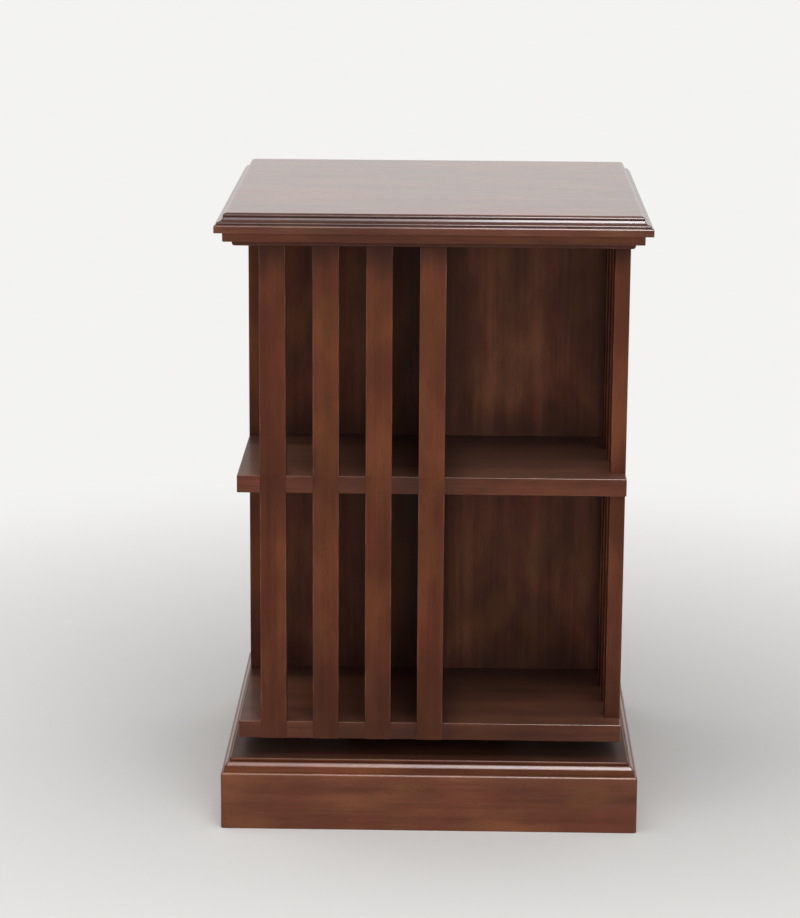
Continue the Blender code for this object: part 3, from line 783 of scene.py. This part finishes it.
class BOOKCASE_OT_cornice(Operator):
    """Model the four mitred mouldings under the table top"""

    bl_idname = "bookcase.cornice"
    bl_label = "Cornice"

    def execute(self, context):
        sizes = context.scene.bookcase_sizes
        low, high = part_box("cornice_front")
        outer = -low.y
        inner = -high.y
        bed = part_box("middle_shelf")[1].y + sizes.bed_overhang
        step = high.z - sizes.cornice_height
        fillet_foot = step - sizes.bed_fillet
        arris = sizes.cornice_arris
        round_centre = (bed - sizes.bed_round_width, fillet_foot)
        section = [(inner, high.z, PLAIN), (outer, high.z, PLAIN)]
        section += curve((outer - arris, step + arris), arris, arris, 0, -90, 0.3 * PROUD)
        section.append((bed, step, HIDDEN))
        section += curve(round_centre, sizes.bed_round_width, fillet_foot - low.z, 0, -90, 0.2 * PROUD)
        section.append((inner, low.z, 0.6 * HIDDEN))
        # The cornice is painted darker towards its foot: painted shade
        woods = woods_for_square(
            "cornice", context.scene.bookcase_finish.cornice, contrast=0.5, patchy=1.4,
            corners=[LevelBand(ALONG_Z, low.z, reach=high.z - low.z, depth=0.55)],
        )
        for turn, face in enumerate(FACES):
            strip = mitred_strip(section, sizes.upper_corner, turn)
            add_piece(face + "_cornice", strip, woods[turn % 2], "carcass", "cornice_" + face)
        return {"FINISHED"}


class BOOKCASE_OT_slats(Operator):
    """Model the upright slats of the four faces"""

    bl_idname = "bookcase.slats"
    bl_label = "Slats"

    def execute(self, context):
        shelf_low, shelf_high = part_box("middle_shelf")
        # Darker towards the foot and round the shelf, and painted shadow under the carcass top
        corners = [
            LevelBand(ALONG_Z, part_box("bottom_board")[0].z, reach=0.16, depth=0.50),
            LevelBand(ALONG_Z, (shelf_low.z + shelf_high.z) / 2, reach=0.045, depth=0.22),
            LevelBand(ALONG_Z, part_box("carcass_top")[0].z, reach=0.045, depth=0.80),
        ]
        material = stained_wood(
            "slats", context.scene.bookcase_finish.slats, ALONG_Z, contrast=0.55, patchy=1.5, coat=0.02,
            polish=0.15, corners=corners,
        )
        joints = [(low.z, high.z) for low, high in map(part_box, BOARDS)]
        for face, number in SLATS:
            node = "slat_%s_%d" % (face, number)
            slat = let_in_slat(*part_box(node), joints, context.scene.bookcase_sizes.slat_arris)
            add_piece("%s_slat_%d" % (face, number), slat, material, "carcass", node)
        return {"FINISHED"}


class BOOKCASE_OT_boards(Operator):
    """Model the shelf and the bottom board with the notches for the slats, and finish the carcass top"""

    bl_idname = "bookcase.boards"
    bl_label = "Boards"

    def execute(self, context):
        sizes = context.scene.bookcase_sizes
        material = self.board_wood(context.scene.bookcase_finish.boards)
        gap = Vector((sizes.joint_gap, sizes.joint_gap, 0.0))
        slats = [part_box("slat_%s_%d" % slat) for slat in SLATS]
        notches = [(low - gap, high + gap) for low, high in slats]
        shelf = notched_board(*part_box("middle_shelf"), notches, sizes.board_arris)
        add_piece("notched_shelf", shelf, material, "carcass", "middle_shelf")
        bottom = notched_board(*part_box("bottom_board"), notches, sizes.board_arris)
        self.bore_for_screws(bottom, sizes)
        add_piece("notched_bottom_board", bottom, material, "carcass", "bottom_board")
        coat_nodes(material, ["carcass_top"])
        return {"FINISHED"}

    @staticmethod
    def board_wood(colour):
        """Wood of the boards: painted shade along the panels and behind the slats, and a dusting with painted
        sheen on top.
        """
        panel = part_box("lower_long_partition")[1].y
        bottom_low, bottom_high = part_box("bottom_board")
        # Painted shade by the panels and towards the back of each compartment; darker towards the underside
        # too
        corners = [
            LevelBand(ALONG_X, panel, reach=0.04, depth=0.65),
            LevelBand(ALONG_Y, panel, reach=0.08, depth=0.85),
            LevelBand(ALONG_Z, bottom_low.z, reach=0.030, depth=0.35),
        ]
        # Dusting on the tops, partly a painted sheen that lightens them
        dust_and_sheen = [
            LevelBand(ALONG_Z, bottom_high.z, reach=0.0008, depth=0.20),
            LevelBand(ALONG_Z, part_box("middle_shelf")[1].z, reach=0.0008, depth=0.30),
        ]
        return stained_wood(
            "boards", colour, ALONG_X, coat=0.14, polish=0.5, corners=corners, dust_and_sheen=dust_and_sheen,
            shaded_axes=(ALONG_X, ALONG_Y),
        )

    @staticmethod
    def bore_for_screws(bm, sizes):
        """Bore blind holes up into the underside of the bottom board, for the screws of the upper plate."""
        underside = min(bm.faces, key=lambda face: face.calc_center_median().z)
        level = underside.verts[0].co.z
        outline = list(underside.edges)
        bmesh.ops.delete(bm, geom=[underside], context="FACES_ONLY")
        holes = []
        for corner in CORNERS:
            low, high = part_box("upper_plate_screw_%d" % corner)
            middle = (low + high) / 2
            rim = hole_rim(bm, middle.x, middle.y, level, sizes.pilot_hole)
            holes.append((rim, high.z + sizes.pilot_room - level))
        rims = [edge for rim, depth in holes for edge in rim]
        bmesh.ops.triangle_fill(bm, use_beauty=True, edges=outline + rims)
        for rim, depth in holes:
            wall = bmesh.ops.extrude_edge_only(bm, edges=rim)["geom"]
            verts = [item for item in wall if isinstance(item, bmesh.types.BMVert)]
            bmesh.ops.translate(bm, vec=(0, 0, depth), verts=verts)
            end = [item for item in wall if isinstance(item, bmesh.types.BMEdge) and item.is_boundary]
            bmesh.ops.contextual_create(bm, geom=end)


class BOOKCASE_OT_panels(Operator):
    """Finish the upright panels between the compartments"""

    bl_idname = "bookcase.panels"
    bl_label = "Panels"

    # Panels that run alike, with the axis they run along, and how much lighter the stain of each tier is
    # painted: painted light
    RUNS = ((("long",), ALONG_X), (("front", "back"), ALONG_Y))
    TIER_LIGHTENING = {"lower": 1.0, "upper": 1.2}

    def execute(self, context):
        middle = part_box("lower_long_partition")[1].y
        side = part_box("slat_right_1")[0].x
        # Painted shade: the panels are darker under the board above each tier, by the middle where they meet
        # and at their ends by the slats; darker at their foot too
        levels = [LevelBand(ALONG_Z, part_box(board)[1].z, reach=0.060, depth=0.66) for board in BOARDS[:2]]
        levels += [LevelBand(ALONG_Z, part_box(board)[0].z, reach=0.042, depth=0.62) for board in BOARDS[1:]]
        for tier in TIERS:
            tier_light = self.TIER_LIGHTENING[tier]
            colour = toned(context.scene.bookcase_finish.panels, tier_light, tier_light, tier_light)
            for names, axis in self.RUNS:
                ends = [
                    LevelBand(axis, middle, reach=0.036, depth=0.68),
                    LevelBand(axis, side, reach=0.020, depth=0.50),
                ]
                material = stained_wood(
                    "%s %s panels" % (tier, names[0]), colour, ALONG_Z, contrast=0.75, patchy=1.5,
                    mottled=0.58, roughness=0.46, corners=levels + ends, shaded_axes=(axis,),
                )
                coat_nodes(material, ["%s_%s_partition" % (tier, name) for name in names])
        return {"FINISHED"}


class BOOKCASE_OT_base_board(Operator):
    """Model the moulded board on the plinth"""

    bl_idname = "bookcase.base_board"
    bl_label = "Base Board"

    def execute(self, context):
        sizes = context.scene.bookcase_sizes
        low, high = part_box("base_board")
        round_edge = high.x - sizes.base_taper
        round_foot = low.z + sizes.base_edge
        round_top = round_foot + sizes.base_round
        quirk_edge = round_edge - sizes.base_quirk_width
        radius = arc_radius(sizes.base_round, ROUND_START, ROUND_END)
        start = radians(ROUND_START)
        round_centre = (round_edge - radius * cos(start), round_foot - radius * sin(start))
        arris = sizes.base_arris
        arris_centre = (quirk_edge - arris, high.z - arris)
        profile = [
            (high.x, low.z, 0.3 * HIDDEN),
            (round_edge, round_foot - sizes.edge_line, 0.3 * HIDDEN),
        ]
        profile += [(x, z, PROUD) for x, z, _ in curve(round_centre, radius, radius, ROUND_START, ROUND_END)]
        profile.append((quirk_edge, round_top, 0.7 * HIDDEN))
        profile.append((quirk_edge, arris_centre[1] - sizes.edge_line, 0.5 * HIDDEN))
        profile += curve(arris_centre, arris, arris, 0, 90, 0.35 * PROUD)
        profile.append((arris_centre[0] - arris, high.z, PLAIN))
        bm = moulded_square(profile, sizes.lower_corner)
        self.cap_round_hole(bm, sizes.base_hole)
        # The flat is painted nearly black: painted shade under the carcass
        material = stained_wood(
            "base board", context.scene.bookcase_finish.plinth, ALONG_X, wear=0.15, specular=0.10, coat=0.08,
            coat_roughness=0.30, corners=[LevelBand(ALONG_Z, high.z, reach=0.0008, depth=0.80)],
        )
        add_piece("moulded_base", bm, material, "base", "base_board")
        return {"FINISHED"}

    @staticmethod
    def cap_round_hole(bm, diameter):
        """Close the board above and below, round the hole that leads to the upper bearing screws."""
        screw_low, screw_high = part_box("upper_plate_screw_1")
        screw = (screw_low + screw_high) / 2
        rims = []
        for loop in open_loops(bm):
            rim = hole_rim(bm, hypot(screw.x, screw.y), 0.0, loop[0].verts[0].co.z, diameter)
            bmesh.ops.triangle_fill(bm, use_beauty=True, edges=loop + rim)
            rims += rim
        bmesh.ops.bridge_loops(bm, edges=rims)


class BOOKCASE_OT_plinth(Operator):
    """Model the four mitred rails of the plinth, and finish its glue blocks"""

    bl_idname = "bookcase.plinth"
    bl_label = "Plinth"

    def execute(self, context):
        sizes = context.scene.bookcase_sizes
        finish = context.scene.bookcase_finish
        low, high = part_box("plinth_front")
        outer = -low.y
        inner = -high.y
        foot = sizes.plinth_foot_arris
        arris = sizes.plinth_arris
        section = [(inner, high.z, PLAIN), (inner, low.z, PLAIN)]
        section += curve((outer - foot, low.z + foot), foot, foot, -90, 0, PROUD)
        section += curve((outer - arris, high.z - arris), arris, arris, 0, 90, 0.7 * PROUD)
        woods = woods_for_square(
            "plinth", finish.plinth, contrast=0.65, patchy=1.5, coat=0.3, coat_roughness=0.36,
        )
        for turn, face in enumerate(FACES):
            rail = mitred_strip(section, sizes.lower_corner, turn)
            add_piece(face + "_plinth_rail", rail, woods[turn % 2], "base", "plinth_" + face)
        blocks = bare_wood("glue blocks", finish.bare, ALONG_Z)
        coat_nodes(blocks, ["plinth_block_%d" % corner for corner in CORNERS])
        return {"FINISHED"}


class BOOKCASE_OT_turntable(Operator):
    """Finish the packer, plates, balls and screws that the carcass turns on"""

    bl_idname = "bookcase.turntable"
    bl_label = "Turntable"

    def execute(self, context):
        finish = context.scene.bookcase_finish
        coat_nodes(bare_wood("packer", finish.bare, ALONG_X), ["bearing_block"])
        zinc = plated_steel("zinc plate", finish.zinc, roughness=0.36, spangle=0.004)
        coat_nodes(zinc, ["bearing_%s_plate" % plate for plate in PLATES])
        steel = plated_steel("bright steel", finish.steel, roughness=0.18, spangle=0.002)
        screws = ["%s_plate_screw_%d" % (plate, corner) for plate in PLATES for corner in CORNERS]
        coat_nodes(steel, ["ball_cage"] + screws)
        return {"FINISHED"}


class SoftBox(NamedTuple):
    """A lamp of the studio: where it hangs, what it is aimed at, and how wide and high it is."""

    name: str
    place: tuple
    target: tuple
    span: tuple


class BOOKCASE_OT_studio(Operator):
    """Set up the pale floor and backdrop, the soft lamps and the camera"""

    bl_idname = "bookcase.studio"
    bl_label = "Studio"

    KEY = SoftBox("overhead", (-0.3, -0.5, 3.0), (-0.3, -0.5, 0.0), (3.0, 3.0))
    FILL = SoftBox("front", (0.7, -3.6, 1.5), (0.0, 0.0, 0.4), (3.0, 2.0))

    # Lamps that only show in polished edges, each with its part of their power
    LEFT_GLINT = SoftBox("glint", (-0.45, -1.79, 2.56), (-0.45, -0.25, 0.72), (1.0, 1.5))
    RIGHT_GLINT = SoftBox("glint", (1.25, -1.79, 2.56), (1.25, -0.25, 0.72), (2.4, 1.5))
    LEFT_PART, RIGHT_PART = 0.06, 0.94

    # Floor, and the distances between which it runs into the backdrop
    FLOOR_RADIUS = 60.0
    FLOOR_STEPS = 64
    FLOOR_NEAR, FLOOR_FAR = 0.45, 1.6

    # Sines of the angles over the level between which the surroundings grow dimmer
    DIM_START, DIM_END = 0.22, 0.55

    # Film of the camera, in millimetres
    FILM_WIDTH = 36.0

    def execute(self, context):
        studio = context.scene.bookcase_studio
        context.scene.view_settings.view_transform = "Standard"
        self.lay_floor(studio)
        self.light_world(context.scene, studio)
        for lamp, watts in ((self.KEY, studio.key_power), (self.FILL, studio.fill_power)):
            self.hang_lamp(lamp, watts).visible_glossy = False
        for lamp, part in ((self.LEFT_GLINT, self.LEFT_PART), (self.RIGHT_GLINT, self.RIGHT_PART)):
            glint = self.hang_lamp(lamp, part * studio.glint_power)
            glint.data.color = studio.glint_colour
            glint.visible_diffuse = False
        self.place_camera(context.scene, studio)
        return {"FINISHED"}

    @staticmethod
    def seen(recipe):
        """1 where a camera, mirror or glass looks, 0 where light only falls."""
        camera = recipe.node("LightPath", output="Is Camera Ray")
        glossy = recipe.node("LightPath", output="Is Glossy Ray")
        clear = recipe.node("LightPath", output="Is Transmission Ray")
        return recipe.maths("MAXIMUM", camera, recipe.maths("MAXIMUM", glossy, clear))

    def lay_floor(self, studio):
        """A pale floor that takes the shadow and runs into the backdrop far off."""
        bm = bmesh.new()
        bmesh.ops.create_circle(bm, cap_ends=True, segments=self.FLOOR_STEPS, radius=self.FLOOR_RADIUS)
        mesh = bpy.data.meshes.new("floor")
        bm.to_mesh(mesh)
        bm.free()
        material, recipe = new_finish("floor")
        reach = recipe.node("VectorMath", {"operation": "LENGTH"}, {0: recipe.place()}, "Value")
        far = recipe.fade(reach, low=self.FLOOR_NEAR, high=self.FLOOR_FAR) * self.seen(recipe)
        near = recipe.node("BsdfDiffuse", None, {"Color": studio.floor})
        glow = recipe.node("Emission", None, {"Color": studio.backdrop, "Strength": 1.0})
        surface = recipe.node("MixShader", None, {"Fac": far, "Shader": near, "Shader_001": glow})
        recipe.node("OutputMaterial", None, {"Surface": surface})
        mesh.materials.append(material)
        floor = bpy.data.objects.new("floor", mesh)
        bpy.context.scene.collection.objects.link(floor)

    def light_world(self, scene, studio):
        """Pale surroundings to look at, and a lower level of light from all round."""
        scene.world = bpy.data.worlds.new("backdrop")
        scene.world.use_nodes = True
        recipe = Recipe(scene.world.node_tree)
        height = recipe.way(recipe.node("TexCoord", output="Generated"), ALONG_Z)
        dim = recipe.fade(height, low=self.DIM_START, high=self.DIM_END)
        shown = 1.0 - dim * (1.0 - studio.overhead)
        strength = studio.ambient + self.seen(recipe) * (shown - studio.ambient)
        sky = recipe.node("Background", None, {"Color": studio.backdrop, "Strength": strength})
        recipe.node("OutputWorld", None, {"Surface": sky})

    @staticmethod
    def hang_lamp(soft_box, watts):
        """Hang a soft box in its place and aim it."""
        lamp = bpy.data.lights.new(soft_box.name, "AREA")
        lamp.shape = "RECTANGLE"
        lamp.size, lamp.size_y = soft_box.span
        lamp.energy = watts
        holder = bpy.data.objects.new(soft_box.name, lamp)
        holder.location = soft_box.place
        holder.rotation_mode = "QUATERNION"
        aim = Vector(soft_box.target) - Vector(soft_box.place)
        holder.rotation_quaternion = aim.to_track_quat("-Z", "Y")
        holder.visible_camera = False
        bpy.context.scene.collection.objects.link(holder)
        return holder

    def place_camera(self, scene, studio):
        """The camera, from its place and the way it looks."""
        yaw, pitch, roll = studio.camera_yaw, studio.camera_pitch, studio.camera_roll
        forward = Vector((sin(yaw) * cos(pitch), cos(yaw) * cos(pitch), sin(pitch)))
        level = Vector((cos(yaw), -sin(yaw), 0.0))
        upright = level.cross(forward)
        right = cos(roll) * level + sin(roll) * upright
        up = cos(roll) * upright - sin(roll) * level
        camera = bpy.data.objects.new("camera", bpy.data.cameras.new("camera"))
        camera.data.sensor_width = self.FILM_WIDTH
        camera.data.lens = studio.camera_lens
        turn = Matrix((right, up, -forward)).transposed().to_4x4()
        camera.matrix_world = Matrix.Translation(studio.camera_place) @ turn
        scene.collection.objects.link(camera)
        scene.camera = camera


OPERATORS = (
    BOOKCASE_OT_table_top,
    BOOKCASE_OT_cornice,
    BOOKCASE_OT_slats,
    BOOKCASE_OT_boards,
    BOOKCASE_OT_panels,
    BOOKCASE_OT_base_board,
    BOOKCASE_OT_plinth,
    BOOKCASE_OT_turntable,
    BOOKCASE_OT_studio,
)
SETTINGS = {
    "bookcase_sizes": BookcaseSizes,
    "bookcase_finish": BookcaseFinish,
    "bookcase_studio": BookcaseStudio,
}


class BOOKCASE_PT_panel(Panel):
    """Lists the pieces of the bookcase and the values they are made from"""

    bl_label = "Rotating Low Bookcase"
    bl_space_type = "VIEW_3D"
    bl_region_type = "UI"
    bl_category = "Bookcase"

    def draw(self, context):
        for operator in OPERATORS:
            self.layout.operator(operator.bl_idname)
        for name, settings in SETTINGS.items():
            box = self.layout.box()
            for value in settings.__annotations__:
                box.prop(getattr(context.scene, name), value)


def register():
    """Make the settings, the operators and the panel known."""
    for name, settings in SETTINGS.items():
        bpy.utils.register_class(settings)
        setattr(bpy.types.Scene, name, PointerProperty(type=settings))
    for operator in OPERATORS:
        bpy.utils.register_class(operator)
    bpy.utils.register_class(BOOKCASE_PT_panel)


def unregister():
    """Take the panel, the operators and the settings away."""
    bpy.utils.unregister_class(BOOKCASE_PT_panel)
    for operator in reversed(OPERATORS):
        bpy.utils.unregister_class(operator)
    for name, settings in SETTINGS.items():
        delattr(bpy.types.Scene, name)
        bpy.utils.unregister_class(settings)


def main():
    """Make every piece and the studio."""
    register()
    bpy.ops.bookcase.table_top()
    bpy.ops.bookcase.cornice()
    bpy.ops.bookcase.slats()
    bpy.ops.bookcase.boards()
    bpy.ops.bookcase.panels()
    bpy.ops.bookcase.base_board()
    bpy.ops.bookcase.plinth()
    bpy.ops.bookcase.turntable()
    bpy.ops.bookcase.studio()


if __name__ == "__main__":
    main()
